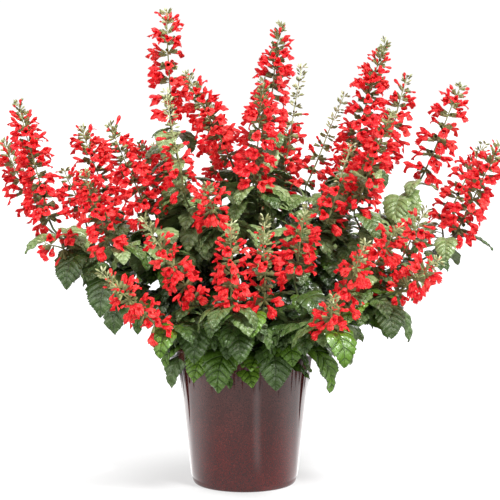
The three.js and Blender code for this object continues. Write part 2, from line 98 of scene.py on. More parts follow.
# Where each plant stands in the soil, [x, y], and its shoots, with all places in millimetres. A shoot
# is [share of the main stem's length where it branches off, foot of its spike, its tip, its look];
# the first shoot is the main stem itself. Some leaves have a place of their own. Each is
# [number of its shoot, share of that stem's length, heading and droop of its tip in degrees, size].
# So have some of the fillers, which the part leaves out.
PLANTS = [
    # far left, reaching out
    {"hole": (-72, 6), "shoots": [
        (0, (-350, -10, 479), (-405, 10, 689), "dense"),
        (0.78, (-392, 75, 497), (-446, 92, 621), "plain"),
        (0.62, (-296, 45, 491), (-331, 60, 569), "plain"),
        (0.84, (-318, -52, 429), (-352, -74, 445), "plain"),
    ], "leaves": [
        (0, 0.15, 205, 105, 1.0), (0, 0.6, -110, 100, 1.4), (0, 0.78, -112, 105, 1.15),
        (0, 0.93, -48, 70, 0.85),
    ], "fillers": [
        (0, 0.4, -120, 100, 1.15), (0, 0.1, -132, 102, 1.15), (0, 0.46, -135, 110, 1.4),
    ]},
    # left, behind
    {"hole": (-58, 42), "shoots": [
        (0, (-253, 70, 505), (-299, 85, 642), "dense"),
        (0.6, (-160, 88, 499), (-198, 100, 615), "dense"),
    ], "leaves": [(0, 0.68, -100, 62, 0.9), (0, 0.85, -100, 95, 0.75)]},
    # left, middle
    {"hole": (-44, -14), "shoots": [
        (0, (-172, -34, 489), (-238, -34, 652), "dense"),
        (0.66, (-236, -118, 449), (-275, -132, 571), "dense"),
    ], "leaves": [(0, 0.3, 205, 66, 1.0), (0, 0.55, 215, 85, 0.85)]},
    # tall, left of the middle
    {"hole": (-30, 22), "shoots": [
        (0, (-134, 24, 664), (-139, 34, 859), "tiered"),
        (0.5, (-107, -56, 535), (-136, -76, 707), "light"),
    ], "fillers": [(0, 0.94, -150, 60, 0.5)]},
    # leaning left from the middle
    {"hole": (-8, -4), "shoots": [
        (0, (-26, 0, 589), (-102, -22, 738), "dense"),
        (0.55, (-52, -138, 487), (-62, -170, 551), "dense"),
    ]},
    # tall, right of the middle
    {"hole": (14, 20), "shoots": [
        (0, (42, 26, 654), (65, 22, 827), "dense"),
        (0.58, (16, -54, 547), (34, -84, 725), "dense"),
        (0.62, (70, 70, 549), (106, 112, 751), "light"),
    ]},
    # right of the middle
    {"hole": (44, -2), "shoots": [
        (0, (190, 8, 593), (251, 10, 793), "dense"),
        (0.62, (112, 38, 537), (181, 62, 698), "light"),
        (0.8, (254, 62, 581), (296, 72, 732), "plain"),
        (0.56, (146, -64, 479), (188, -62, 615), "light"),
    ]},
    # far right, high
    {"hole": (64, 30), "shoots": [
        (0, (322, -10, 565), (387, -14, 723), "tiered"),
        (0.6, (194, -74, 503), (254, -112, 674), "dense"),
    ], "leaves": [
        (0, 0.55, -110, 90, 0.9), (1, 0.8, -60, 90, 0.9), (0, 0.87, -110, 108, 0.95),
        (0, 0.93, -20, 45, 0.5),
    ]},
    # far right, low
    {"hole": (72, -16), "shoots": [
        (0, (374, -60, 461), (450, -62, 618), "dense"),
        (0.86, (362, 30, 473), (436, 52, 611), "plain"),
        (0.6, (268, -112, 411), (312, -134, 505), "plain"),
    ], "leaves": [
        (0, 0.24, -12, 106, 1.35), (2, 0.9, -60, 100, 0.9), (1, 0.2, 200, 80, 0.75),
        (0, 0.84, -40, 85, 0.6), (0, 0.95, -100, 105, 0.75),
    ]},
    # front right
    {"hole": (50, -52), "shoots": [
        (0, (270, -206, 381), (328, -262, 437), "young"),
        (0.6, (222, -140, 409), (264, -186, 483), "plain"),
        (0.45, (248, -128, 343), (296, -158, 399), "young"),
    ], "leaves": [(0, 0.2, -28, 108, 1.55), (2, 0.92, -56, 102, 1.05)], "fillers": [
        (2, 0.34, -15, 80, 1.15), (2, 0.76, -30, 100, 1.15),
    ]},
    # front, right of the middle
    {"hole": (26, -72), "shoots": [
        (0, (166, -210, 353), (202, -262, 465), "young"),
        (0.52, (86, -166, 395), (104, -202, 515), "plain"),
        (0.58, (142, -258, 321), (146, -326, 379), "young"),
    ], "leaves": [(0, 0.3, -88, 110, 1.3), (2, 0.35, -165, 85, 1.1)], "fillers": [
        (2, 0.7, -65, 108, 1.15),
    ]},
    # front, middle
    {"hole": (-10, -80), "shoots": [
        (0, (-22, -250, 361), (-20, -300, 503), "young"),
        (0.5, (34, -206, 355), (34, -262, 499), "young"),
    ], "leaves": [(0, 0.3, -92, 110, 1.3), (0, 0.6, -80, 105, 1.0), (0, 0.88, 235, 85, 0.85)]},
    # front left
    {"hole": (-46, -56), "shoots": [
        (0, (-84, -196, 357), (-166, -264, 503), "young"),
        (0.5, (-148, -232, 321), (-232, -328, 423), "young"),
    ], "leaves": [(0, 0.26, -118, 82, 1.1), (1, 0.35, -95, 105, 1.15)], "fillers": [
        (1, 0.64, -120, 100, 1.0),
    ]},
    # behind, left
    {"hole": (-26, 70), "shoots": [
        (0, (-126, 210, 449), (-176, 270, 599), "dense"),
        (0.5, (-44, 168, 509), (-62, 204, 673), "dense"),
        (0.55, (-196, 180, 381), (-262, 236, 483), "dense"),
        (0.6, (-84, 286, 385), (-112, 362, 485), "plain"),
    ], "leaves": [(0, 0.2, 112, 78, 1.2), (0, 0.32, 62, 80, 1.1)]},
    # behind, right
    {"hole": (34, 66), "shoots": [
        (0, (158, 206, 461), (214, 268, 613), "dense"),
        (0.5, (62, 182, 495), (84, 230, 649), "dense"),
        (0.45, (206, 136, 385), (262, 186, 475), "plain"),
        (0.6, (92, 284, 377), (112, 366, 471), "plain"),
    ], "leaves": [(0, 0.2, 50, 78, 1.2), (0, 0.32, 98, 80, 1.1)]},
]

# ------------------------ numbers and directions

UP = np.array((0.0, 0.0, 1.0))
PURPOSES = {"heading": 1, "droop": 2, "leaf_size": 3}


def lerp(start, end, share):
    return start + (end - start) * share


def smooth(value):
    """Rises smoothly from 0 to 1 as the value does."""
    value = np.clip(value, 0, 1)
    return value * value * (3 - 2 * value)


def clipped(value, highest=1):
    return float(np.clip(value, 0, highest))


def draw(number, purpose):
    """The part's own repeatable draw from 0 to 1 for one numbered thing."""
    return (sin(number * 12.9898 + PURPOSES[purpose] * 78.233) * 43758.5453) % 1


def unit(vector):
    return vector / np.linalg.norm(vector)


def metres(millimetres):
    return np.array(millimetres) / 1000


def circle(sides):
    angles = np.arange(sides) * TURN / sides
    return np.stack((np.cos(angles), np.sin(angles)), axis=1)


def points_at(x, y, z):
    """Points from their coordinates, each of which may be the same for a whole row or column."""
    return np.stack(np.broadcast_arrays(x, y, z), axis=-1)


# ------------------------ mesh building


def grid_faces(rows, columns, wrap=False, flip=False):
    """Quads between rows of points. The last column meets the first one where they wrap."""
    row = np.arange(rows - 1)[:, None] * columns
    column = np.arange(columns if wrap else columns - 1)
    start, beside = (row + column).ravel(), (row + (column + 1) % columns).ravel()
    quads = np.stack((start, beside, beside + columns, start + columns), axis=1)
    return quads[:, ::-1] if flip else quads


def tube(points, radii, section):
    """Points and faces of a capped tube along a path, without twist."""
    tangents = np.gradient(points, axis=0)
    tangents /= np.linalg.norm(tangents, axis=1, keepdims=True)
    side = np.cross(tangents[0], (0.3, 0.95, 0.05))
    rings = []
    for point, tangent, radius in zip(points, tangents, radii):
        side = unit(side - tangent * (side @ tangent))
        front = np.cross(tangent, side)
        rings.append(point + radius * (section[:, :1] * side + section[:, 1:] * front))
    sides = len(section)
    ring = np.arange(sides)
    caps = [ring[::-1][None], (ring + sides * (len(points) - 1))[None]]
    return np.concatenate(rings), [grid_faces(len(points), sides, wrap=True), *caps]


def mesh_of(name, points, faces, material):
    mesh = bpy.data.meshes.new(name)
    mesh.from_pydata(points, [], faces)
    mesh.materials.append(material)
    return mesh


def add_object(name, data):
    thing = bpy.data.objects.new(name, data)
    bpy.context.scene.collection.objects.link(thing)
    return thing


class Shape:
    """Gathers points and faces. Each point has a form, what its material reads of its place on the
    petal or leaf as [x, y, z], and a shade from 0, dark, to 1, light."""

    def __init__(self):
        self.points, self.forms, self.shades, self.faces = [], [], [], []
        self.count = 0

    def add(self, points, faces, form=(0, 0, 0), shade=0.5):
        self.points.append(points)
        self.forms.append(np.broadcast_to(form, (len(points), 3)))
        self.shades.append(np.broadcast_to(shade, len(points)))
        for group in faces:
            self.faces += (group + self.count).tolist()
        self.count += len(points)

    def piece(self, name, material, slot, *nodes):
        """The finished piece, which stands for those nodes of the part."""
        mesh = mesh_of(name, np.concatenate(self.points).tolist(), self.faces, material)
        form = mesh.attributes.new("form", "FLOAT_VECTOR", "POINT")
        form.data.foreach_set("vector", np.concatenate(self.forms).astype(np.float32).ravel())
        shade = mesh.attributes.new("shade", "FLOAT", "POINT")
        shade.data.foreach_set("value", np.concatenate(self.shades).astype(np.float32))
        mesh.shade_smooth()
        piece = add_object(name, mesh)
        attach(piece, "root")
        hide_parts(*nodes)


# ------------------------ curves of stems


class Curve:
    """A cubic Bezier curve, read by its share of length in 200 short steps as the part reads it."""

    def __init__(self, *controls):
        self.controls = np.array(controls)
        self.parameters = np.linspace(0, 1, 201)
        steps = np.diff(self.at(self.parameters), axis=0)
        self.lengths = np.concatenate(([0], np.cumsum(np.linalg.norm(steps, axis=1))))
        self.length = self.lengths[-1]

    def at(self, parameter):
        t = np.atleast_1d(parameter)[:, None]
        a, b, c, d = self.controls
        return (1 - t) ** 3 * a + 3 * (1 - t) ** 2 * t * b + 3 * (1 - t) * t * t * c + t**3 * d

    def parameter(self, share):
        return np.interp(np.asarray(share) * self.length, self.lengths, self.parameters)

    def points(self, shares):
        return self.at(self.parameter(shares))

    def tangent(self, share):
        step = 0.0001
        ends = np.clip(self.parameter(share) + np.array((-step, step)), 0, 1)
        before, after = self.at(ends)
        return unit(after - before)


def on_stem(curve, steps, share):
    """The point at a share of a stem's length, on the straight pieces of the part's rod."""
    piece = min(int(share * steps), steps - 1)
    start, end = curve.points([piece / steps, (piece + 1) / steps])
    return lerp(start, end, share * steps - piece)


def stem_curve(root, start, foot, lean):
    """From the root, in the direction start, to just below a spike's foot, in the direction lean."""
    reach = np.linalg.norm(foot - root)
    rise = root + start * STEM["rise"] * reach
    lead = foot - lean * STEM["lead"] * reach
    return Curve(root, rise, lead, foot - lean * STEM["gap"])


def shoots_of(plant):
    """A plant's shoots, the main stem first: each one's curve, its spike and where its leaves start."""
    shoots = []
    for share, foot, tip, look in plant["shoots"]:
        foot, tip = metres(foot), metres(tip)
        main = shoots[0]["curve"] if shoots else None
        if main:
            root, start = on_stem(main, STEM["steps"], share), main.tangent(share)
        else:
            root, start = np.array((*metres(plant["hole"]), SOIL["edge"] - STEM["root"])), UP
        shoots.append({
            "curve": stem_curve(root, start, foot, unit(tip - foot)),
            "foot": foot,
            "tip": tip,
            "look": look,
            "side": STEM["branch_side"] if main else STEM["side"],
            "steps": STEM["branch_steps"] if main else STEM["steps"],
            "first_pair": LEAF["first_branch_pair"] if main else LEAF["first_pair"],
        })
    return shoots


# ------------------------ leaves

BLADE = {
    "thick": 0.7 * MM,
    "quilt": 2.4 * MM,  # how far it bulges between its veins
    "wave": 1.8 * MM,  # how far its edge waves up and down
    "waves": 2.3,
    "curl": 0.2,  # how far its edge turns down, as a share of its half width
    "tooth": 0.13,  # how deep the notches of its edge are, as a share of its width
    "slender": 0.97,  # its width against the part's flat one
    "lobes": 0.1,  # how far its lobes reach back beside the petiole, as a share of its length
    "slant": 0.4,  # how far forward its lowest side veins end, in the same share
}
# Half its width at shares of its length, against the greatest.
OUTLINE = (
    (-0.1, -0.05, 0, 0.1, 0.25, 0.4, 0.55, 0.7, 0.8, 0.9, 1),
    (0.42, 0.62, 0.74, 0.9, 1, 0.97, 0.86, 0.67, 0.5, 0.28, 0),
)
ROLL = {"pair": 0.2, "placed": 0.0, "filler": 0.4}  # how far it leans to one side at most, in radians
PETIOLE_RADIUS = 1.1 * MM
VEINS = 7  # side veins of each half of a full leaf
FULL_BLADE = {"veins": VEINS, "rows_a_vein": 4, "columns": 11, "under_columns": 5, "petiole_steps": 10}
FILLER_BLADE = {"veins": 5, "rows_a_vein": 3, "columns": 9, "under_columns": 3, "petiole_steps": 6}
FILLER = {
    "spacing": (20 * MM, 31 * MM),  # range of the way between two nodes with filler leaves
    "sizes": (1.0, 0.74),  # at the foot of a shoot and below its spike
    "spread": (0.7, 1.1),
    "droop": (radians(45), radians(105)),
    "bare_foot": 0.6,  # as a share of the way to the shoot's first pair
    "bare_top": 14 * MM,
    "fan": 1.5,  # how far they turn from straight outwards, in radians
    "farthest": 0.31,  # how far from the pot's axis their tips may be
    "crowded": (0.16, 0.3),  # shares of a shoot's length up to which a node has one and two, not three
}
# Painted light on leaves by the height that they grow at: bright low down, a painted shade above, and a
# pale painted sheen on the highest, each step as [from, over what height], in metres.
LEAF_LIGHT_BY_HEIGHT = {
    "into_shade": (0.24, 0.06),
    "into_sheen": (0.38, 0.09),
    "shades": (0.75, 0.42),  # of the low, bright leaves and of those in painted shade
    "paler": 0.32,  # how much further the shade of the highest ones falls, to the pale end of the ramp, a painted sheen
    "uneven": 0.15,
    "lightest": 0.86,
}
STALK = {"rings": 25, "cut": 0.62, "taper": 0.62}  # cut: where its corners are cut off, as a share


def leaf_on(root, azimuth, droop, size, kind):
    return {"root": root, "azimuth": azimuth, "droop": droop, "size": size, "kind": kind, "roll": 0}


def length_of(leaf):
    return (LEAF["petiole"] + LEAF["length"]) * leaf["size"]


def arched(leaf, along, across, above):
    """Points of a flat leaf, put on the arched and folded one as the part's source does."""
    bend = (LEAF["rise"] + leaf["droop"]) / length_of(leaf)
    pitch = LEAF["rise"] - bend * along
    level = (sin(LEAF["rise"]) - np.sin(pitch)) / bend
    height = (np.cos(pitch) - cos(LEAF["rise"])) / bend
    out = np.array((cos(leaf["azimuth"]), sin(leaf["azimuth"]), 0))
    side = np.array((-out[1], out[0], 0))
    raised = np.abs(across) * sin(LEAF["fold"]) + across * sin(leaf["roll"]) + above
    level, across, height = np.broadcast_arrays(
        level - raised * np.sin(pitch), across * cos(LEAF["fold"]), height + raised * np.cos(pitch)
    )
    return leaf["root"] + level[..., None] * out + across[..., None] * side + height[..., None] * UP


def blade_sheet(leaf, detail, columns, quilt, seed):
    """One face of a blade before it is arched: [along, across, above], how far its points are from
    the midrib and their forms. Its rows follow the side veins, back into the heart-shaped base and
    then forward."""
    veins, size = detail["veins"], leaf["size"]
    rows = veins * detail["rows_a_vein"] + 1
    share = np.linspace(0, 0.996, rows)[:, None]
    across = np.linspace(-1, 1, columns)[None, :]
    side = np.abs(across)
    half_width = BLADE["slender"] * LEAF["width"] / 2 * size
    notch = 1 - BLADE["tooth"] * (np.arange(rows) % 2)[:, None] * side**6
    slant = lerp(-BLADE["lobes"], BLADE["slant"] * (1 - share), smooth(share / 0.35))
    width = np.interp(share + slant, *OUTLINE)
    flat_along = (LEAF["petiole"] + LEAF["length"] * (share + slant * side**1.15)) * size
    flat_across = width * across * notch * half_width
    between_veins = np.abs(np.sin(pi * veins * share)) ** 0.85
    bulge = quilt * size**0.5 * between_veins * np.minimum(1, 4 * side) * (1 - 0.6 * side**4)
    phase = TURN * (BLADE["waves"] * share + seed % 7 / 7) + 1.5 * np.sign(across)
    wave = BLADE["wave"] * size * np.sin(phase) * side**2
    curl = -BLADE["curl"] * half_width * side**2.5 * width
    form = points_at(share * veins / VEINS, across, 0.0)
    return flat_along, flat_across, bulge + wave + curl, side, form


def add_blade(shape, leaf, detail, seed):
    """The blade as a closed thin sheet: toothed, quilted between its veins, and waved at its edge."""
    sides = ((0, detail["columns"], BLADE["quilt"]), (1, detail["under_columns"], 0))
    for under, columns, quilt in sides:
        along, across, above, side, form = blade_sheet(leaf, detail, columns, quilt, seed)
        sheet = above + (0.5 - under) * BLADE["thick"] * (1 - side**6)
        points = arched(leaf, along, across, sheet).reshape(-1, 3)
        form[..., 2] = under
        faces = [grid_faces(len(along), columns, flip=not under)]
        shape.add(points, faces, form.reshape(-1, 3), leaf["shade"])


def add_petiole(shape, leaf, detail):
    """The petiole, which runs on below the blade as its midrib."""
    size = leaf["size"]
    end = (LEAF["petiole"] + 0.75 * LEAF["length"]) * size
    reach = np.linspace(-1 * MM, end, detail["petiole_steps"])
    below = -0.6 * MM * smooth(reach / (LEAF["petiole"] * size))
    radii = PETIOLE_RADIUS * size**0.5 * np.linspace(1, 0.3, len(reach))
    points, faces = tube(arched(leaf, reach, 0 * reach, below), radii, circle(4))
    shape.add(points, faces, (0, 0, 0.5), leaf["shade"])


def tip_of(leaf):
    return arched(leaf, np.array(length_of(leaf)), np.array(0), np.array(0))


def leaf_pairs(shoot, number):
    """The opposite pairs along a shoot, as in the part."""
    curve = shoot["curve"]
    leaves = []
    along, pair = shoot["first_pair"], 0
    while along < curve.length - LEAF["bare_top"]:
        share = along / curve.length
        root = on_stem(curve, shoot["steps"], share)
        tangent = curve.tangent(share)
        heading, lean = atan2(tangent[1], tangent[0]), hypot(tangent[0], tangent[1])
        for way in (0, 1):
            seed = number * LEAF["at_most"] + pair * 2 + way
            across_stem = pi * (way + 0.5)
            along_stem = lerp(pi, TURN - LEAF["splay"], lean) if way else LEAF["splay"] * lean
            turn = LEAF["turn"] * (draw(seed, "heading") - 0.5)
            azimuth = heading + (along_stem if pair % 2 else across_stem) + turn
            droop = lerp(*LEAF["droop"], draw(seed, "droop"))
            size = lerp(*LEAF["sizes"], share) * lerp(*LEAF["spread"], draw(seed, "leaf_size"))
            leaves.append(leaf_on(root, azimuth, droop, size, "pair"))
        along += lerp(*LEAF["spacing"], share)
        pair += 1
    return leaves


def placed_leaves(leaves, shoots, kind):
    """The leaves that have a place of their own on a plant's shoots."""
    specs = []
    for number, share, heading, droop, size in leaves:
        root = on_stem(shoots[number]["curve"], shoots[number]["steps"], share)
        specs.append(leaf_on(root, radians(heading), radians(droop), size, kind))
    return specs


def as_in_part(leaf, corners):
    """The leaf as the part has it: the first try whose tip is a corner of the stem's solid."""
    for turn, droop, scale in LEAF_TRIES:
        moved = (leaf["azimuth"] + turn, leaf["droop"] + droop, leaf["size"] * scale)
        tried = leaf_on(leaf["root"], *moved, leaf["kind"])
        if np.min(np.linalg.norm(corners - tip_of(tried), axis=1)) < 0.3 * MM:
            return tried
    return None


def corners_of(node):
    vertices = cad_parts[node].data.vertices
    corners = np.empty(3 * len(vertices))
    vertices.foreach_get("co", corners)
    return corners.reshape(-1, 3)


def filler_leaves(shoot, number):
    """The further leaves of a shoot, which the part's pairs leave room for."""
    rng = np.random.default_rng(1000 + number)
    curve = shoot["curve"]
    leaves = []
    along = FILLER["bare_foot"] * shoot["first_pair"]
    while along < curve.length - FILLER["bare_top"]:
        share = along / curve.length
        root = curve.points(share)[0]
        tangent = curve.tangent(share)
        outwards = atan2(root[1], root[0]) + rng.uniform(-1, 1) * FILLER["fan"]
        heading = atan2(tangent[1], tangent[0])
        left, right = (heading + way * pi / 2 + rng.uniform(-0.5, 0.5) for way in (-1, 1))
        for azimuth in (outwards, left, right)[: 1 + np.searchsorted(FILLER["crowded"], share)]:
            droop = rng.uniform(*FILLER["droop"])
            size = lerp(*FILLER["sizes"], share) * rng.uniform(*FILLER["spread"])
            leaf = leaf_on(root, azimuth, droop, size, "filler")
            tip = tip_of(leaf)
            if hypot(tip[0], tip[1]) < FILLER["farthest"]:
                leaves.append(leaf)
        along += rng.uniform(*FILLER["spacing"])
    return leaves


def leaf_tone_and_painted_light(leaf, rng):
    """Painted light by height: the lowest leaves bright, those above them in painted shade, and the
    highest pale with a painted sheen, each with an uneven tone of its own.
    """
    height = leaf["root"][2]
    into_shade, into_sheen = (smooth((height - start) / over) for start, over in (LEAF_LIGHT_BY_HEIGHT["into_shade"], LEAF_LIGHT_BY_HEIGHT["into_sheen"]))
    shade = lerp(*LEAF_LIGHT_BY_HEIGHT["shades"], into_shade) - LEAF_LIGHT_BY_HEIGHT["paler"] * into_sheen
    return clipped(shade + rng.normal(0, LEAF_LIGHT_BY_HEIGHT["uneven"]), LEAF_LIGHT_BY_HEIGHT["lightest"])


def add_stalk(shape, shoot):
    """The square stem of a shoot, tapering to its spike."""
    shares = np.linspace(0, 1, STALK["rings"])
    cut = STALK["cut"]
    half = [(1, -cut), (1, cut), (cut, 1), (-cut, 1)]
    section = np.array(half + [(-x, -y) for x, y in half])
    radii = shoot["side"] / 2 * lerp(1.0, STALK["taper"], shares)
    points, faces = tube(shoot["curve"].points(shares), radii, section)
    shape.add(points, faces, (0.5, 0, 0), 0.5)


def grow_plant(plant, name, first_number, materials):
    """A plant's stems and its leaves, as two pieces that stand for its node."""
    shoots = shoots_of(plant)
    corners = corners_of(name)
    stalks, leaves = Shape(), Shape()
    specs = placed_leaves(plant.get("leaves", []), shoots, "placed")
    fillers = placed_leaves(plant.get("fillers", []), shoots, "filler")
    for i, shoot in enumerate(shoots):
        add_stalk(stalks, shoot)
        specs += leaf_pairs(shoot, first_number + i)
        fillers += filler_leaves(shoot, first_number + i)
    full = [leaf for leaf in (as_in_part(spec, corners) for spec in specs) if leaf]
    rng = np.random.default_rng(first_number)
    for seed, leaf in enumerate(full + fillers):
        detail = FILLER_BLADE if leaf["kind"] == "filler" else FULL_BLADE
        leaf["shade"] = leaf_tone_and_painted_light(leaf, rng)
        leaf["roll"] = ROLL[leaf["kind"]] * rng.uniform(-1, 1)
        add_petiole(leaves, leaf, detail)
        add_blade(leaves, leaf, detail, seed)
    stalks.piece(f"stalks_{name[-2:]}", materials["stalk"], "foliage", name)
    leaves.piece(f"leaves_{name[-2:]}", materials["leaf"], "foliage", name)
    return shoots


# ------------------------ flower spikes

PEDICEL = 3 * MM
CALYX = 9.5 * MM
TUBE = 10 * MM  # the corolla's tube, from the calyx to its mouth
TUBE_RISE = 1.2 * MM
TUBE_SIDES = 8
MOUTH = (3.9 * MM, 4.3 * MM)  # half the width and half the height of the corolla's mouth
HOOD = 10.5 * MM
LIP = 13 * MM
LIP_HALF_WIDTH = 8.4 * MM
LIP_COLUMNS = 9
GAPES = (0.1, 0.3, 0.5, 0.7, 0.9)  # how wide open florets are, from 0, half shut, to 1
SPIKE = {
    "axis": (1.7 * MM, 0.8 * MM),  # its radius at the foot and at the tip
    "rings": 9,
    "sway": 1.2 * MM,
    "first": 4 * MM,  # from the foot of a spike to its first whorl
    "spacing": (27 * MM, 11 * MM),  # between whorls, at the foot and at the tip
    "pitch": (radians(-8), radians(36)),  # of the florets, in the same places
    "standing_off": 1.2 * MM,  # of the florets from the axis
}
CYME = (-1.05, -0.4, 0.4, 1.05, 0.0)  # angle of each floret of one cyme round the axis
# How far florets are scattered either way: turn of a whorl, and angle, pitch and roll of a floret in
# radians, its place along the axis in millimetres, and its age as a share of the spike's length.
SCATTER = {"turn": 0.2, "angle": 0.3, "pitch": 0.4, "roll": 0.8, "along": 4, "age": 0.07}
FLORET = {
    "sizes": (1, 0.76),  # low on a spike and at its tip
    "spread": (0.82, 1.16),
    "fallen": 0.27,  # share of the calyces that have no corolla any more
    "late": 0.1,  # share of the buds among the open florets
    "bud_sizes": (0.4, 1),
    "shade": (0.5, 0.28),  # its middle and its scatter
    "calyx_shades": (0.25, 0.95),  # at the foot of a spike and at its tip
    "calyx_spread": (-0.12, 0.16),
}
GREEN_BUD = {"out": 4.5 * MM, "sizes": (1.35, 0.8), "shade_spread": (-0.5, 0.25)}

# How a spike looks: how far apart its whorls are against the plain ones, how many florets a cyme has,
# their size, how light its calyces are, and the shares of its length up to which florets are open and
# buds are red.
LOOK = ("spacing", "florets", "size", "light", "opened", "coloured")
LOOKS = {
    "dense": (0.8, 5, 1.12, 0.7, 0.77, 0.88),
    "plain": (0.9, 4, 1.1, 0.75, 0.74, 0.86),
    "tiered": (1.15, 5, 1.15, 0.8, 0.80, 0.90),
    "young": (1.0, 5, 1.0, 0.8, 0.62, 0.78),
    "light": (1.0, 4, 1.0, 1.0, 0.40, 0.56),
}


def corolla_tube(angles):
    half_width, half_height = MOUTH
    share = np.linspace(0, 1, 3)[:, None]
    swell = 0.45 + 0.55 * share**0.9
    rise = TUBE_RISE * share**2
    return points_at(
        TUBE * share, half_width * swell * np.cos(angles), rise + half_height * swell * np.sin(angles)
    )


def corolla_hood(angles, gape):
    half_width, half_height = MOUTH
    share = np.linspace(0, 1, 5)[:, None]
    narrow = np.array((1, 1.1, 1.1, 0.85, 0.3))[:, None]
    arch = np.array((1, 1.2, 1.22, 1.0, 0.4))[:, None]
    lift = 1.5 * MM * gape * share
    return points_at(
        TUBE + HOOD * share * (1 - 0.3 * np.abs(np.cos(angles))),
        half_width * narrow * np.cos(angles),
        TUBE_RISE + lift + half_height * arch * np.sin(angles),
    )


def corolla_lip(gape):
    """The lip bends down and spreads out from the lower half of the mouth, in three lobes."""
    half_width, half_height = MOUTH
    place = np.linspace(-1, 1, LIP_COLUMNS)
    share = np.linspace(0, 1, 6)[:, None]
    reach = LIP * share * np.interp(np.abs(place), (0, 0.25, 0.5, 0.75, 1), (0.8, 1, 0.72, 0.86, 0.55))
    start = radians(-8)
    bend = radians(lerp(30, 90, gape)) / LIP
    pitch = start - bend * reach
    path_x = TUBE + (np.sin(start) - np.sin(pitch)) / bend
    path_z = TUBE_RISE - half_height + (np.cos(pitch) - np.cos(start)) / bend
    cup = half_height * (1 - np.sqrt(np.maximum(0, 1 - place**2))) * (1 - share) ** 1.4
    ruffle = 2.2 * MM * share * place**2 + 1.5 * MM * share**2 * np.cos(4 * pi * place)
    broad = LIP_HALF_WIDTH * lerp(0.75, 1, gape)
    width = lerp(half_width, broad, np.interp(share, (0, 0.25, 0.6, 1), (0, 0.75, 1, 0.8)))
    sunk = cup - ruffle
    return points_at(path_x - sunk * np.sin(pitch), place * width, path_z + sunk * np.cos(pitch))


def corolla(gape):
    """An open floret along +X with its hood up: a tube, a hood and a broad three-lobed lip."""
    angles = np.arange(TUBE_SIDES) * TURN / TUBE_SIDES
    over = angles[: TUBE_SIDES // 2 + 1]
    return joined_rows([
        (corolla_tube(angles), 0, 0.5, True),
        (corolla_hood(over, gape), 0.5, 0.9, False),
        (corolla_lip(gape), 0.5, 1, False),
    ])


def joined_rows(sheets):
    """Points, faces and forms of several sheets, each [rows of points, first form, last form, wrap]."""
    points, faces, forms = [], [], []
    count = 0
    for rows, start_form, end_form, wrap in sheets:
        size, columns = rows.shape[:2]
        along = np.linspace(start_form, end_form, size)[:, None]
        form = points_at(along, np.linspace(-1, 1, columns), 0.0)
        points.append(rows.reshape(-1, 3))
        faces.append(grid_faces(size, columns, wrap=wrap) + count)
        forms.append(form.reshape(-1, 3))
        count += size * columns
    return np.concatenate(points), faces, np.concatenate(forms)


def lathe(profile, sides):
    """A form round Z from [radius, height] pairs."""
    ring = circle(sides)
    points = np.array([(radius * x, radius * y, z) for radius, z in profile for x, y in ring])
    return points, [grid_faces(len(profile), sides, wrap=True)]


def turned(profile, sides):
    """A form along +X from [place, radius] pairs in millimetres."""
    points, faces = lathe([(radius, place) for place, radius in profile], sides)
    return points[:, [2, 0, 1]] * MM, faces


def calyx():
    """A ribbed bell on a thin pedicel, with three teeth at its mouth."""
    length, pedicel = CALYX / MM, PEDICEL / MM
    profile = [
        (-length - pedicel, 0.6), (-length, 0.9), (-0.8 * length, 2.0), (0.2, 2.8), (2, 3.3),
    ]
    points, faces = turned(profile, 6)
    points[-6::2, 0] -= 2 * MM
    return points, faces


def closed_bud():
    """A corolla before it opens: a club along +X."""
    return turned([(-1, 1.4), (6, 2.2), (12, 3.7), (16, 3.9), (19, 2.6), (20.5, 0.5)], 6)


def green_bud():
    """A small bud that shows no petal yet, on its short pedicel."""
    return turned([(-5, 0.4), (-1, 0.6), (1.5, 1.8), (5, 1.9), (9, 0.3)], 5)


COROLLAS = [corolla(gape) for gape in GAPES]
CALYX_FORM, BUD_FORM, GREEN_BUD_FORM = calyx(), closed_bud(), green_bud()


def placed(points, base, out, up, scale):
    """Points of a form along +X, put at the base to point out with their +Z up."""
    side = np.cross(up, out)
    return base + scale * (points[:, :1] * out + points[:, 1:2] * side + points[:, 2:] * up)


